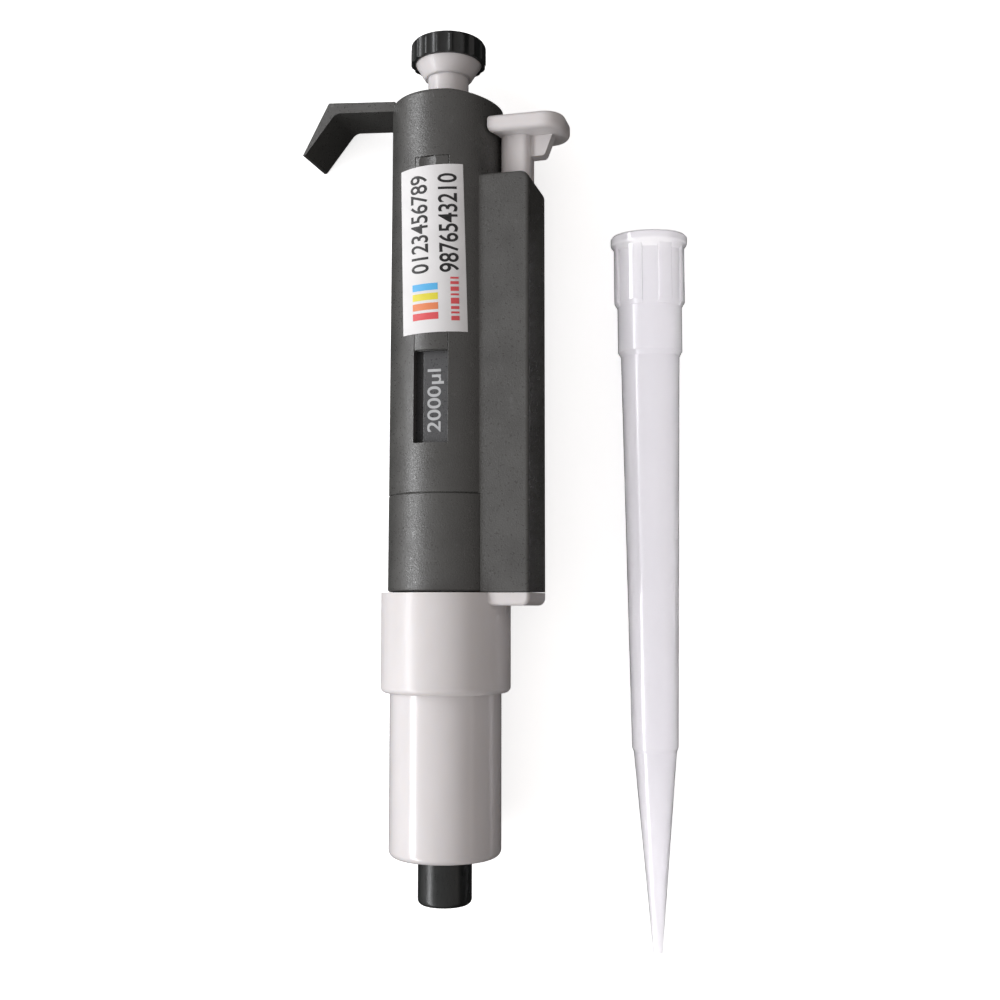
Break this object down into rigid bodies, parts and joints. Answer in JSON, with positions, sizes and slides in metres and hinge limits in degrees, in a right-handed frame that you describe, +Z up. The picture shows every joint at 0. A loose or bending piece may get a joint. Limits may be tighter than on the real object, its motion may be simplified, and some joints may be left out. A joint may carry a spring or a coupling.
{
  "type": "pipette set",
  "caption": "Fixed-volume hand pipette with plunger, finger hook and tip ejector, lying beside a loose translucent tip",
  "frame": {"origin": "on the bench, under the middle of the set's bounding box", "axes": "+Z up from the bench; +Y along the pipette towards its thumb knob; +X from the pipette towards the loose tip. The pipette's own axis is level to within 1 degree of Y"},
  "size_m": [0.0818, 0.1918, 0.0271],
  "materials": {
    "grey_plastic": "fine moulded texture, dark grey",
    "plate_plastic": "dark grey plate with pale printed figures",
    "dark_plastic": "nearly black, smooth",
    "white_plastic": "satin off-white",
    "white_gloss": "smooth off-white",
    "tip_plastic": "translucent natural polypropylene",
    "label_paper": "printed paper label",
    "steel": "turned stainless steel",
    "spring_steel": "drawn spring wire",
    "brass": "turned brass",
    "seal_rubber": "moulded seal"
  },
  "bodies": {
    "handle": {"handle_shell": "grey_plastic", "lower_grip": "grey_plastic", "top_bush": "white_plastic", "cover_strip": "grey_plastic", "volume_plate": "plate_plastic", "label": "label_paper", "barrel": "dark_plastic", "coupling_nut": "dark_plastic", "spring_seat": "dark_plastic", "adjuster_ring": "brass", "blowout_spring": "spring_steel", "ejector_spring": "spring_steel"},
    "blowout_stop": {"blowout_washer": "steel", "plunger_spring": "spring_steel"},
    "plunger": {"knob_ring": "dark_plastic", "knob_core": "white_plastic", "plunger_rod": "steel", "stop_collar": "steel", "piston": "white_plastic", "piston_seal": "seal_rubber"},
    "ejector": {"ejector_button": "white_plastic", "ejector_rod": "steel", "ejector_screw": "steel", "ejector_collar": "white_plastic", "ejector_sleeve": "white_gloss"},
    "tip": {"pipette_tip": "tip_plastic"}
  },
  "joints": [
    {"name": "blowout_slide", "type": "slide", "parent": "handle", "child": "blowout_stop", "axis": [0, -0.9999, 0.0161], "range_m": [0, 0.0016], "stiffness_N_per_m": 2500, "springref_m": -0.004, "deforming": ["blowout_spring"]},
    {"name": "plunger_slide", "type": "slide", "parent": "blowout_stop", "child": "plunger", "axis": [0, -0.9999, 0.0161], "range_m": [0, 0.009], "stiffness_N_per_m": 400, "springref_m": -0.008, "deforming": ["plunger_spring"]},
    {"name": "ejector_slide", "type": "slide", "parent": "handle", "child": "ejector", "axis": [0, -0.9999, 0.0161], "range_m": [0, 0.0045], "stiffness_N_per_m": 700, "springref_m": -0.006, "deforming": ["ejector_spring"]},
    {"name": "tip_lift", "type": "slide", "parent": "handle", "child": "tip", "axis": [0, 0, 1], "range_m": [0, 0.06]}
  ]
}
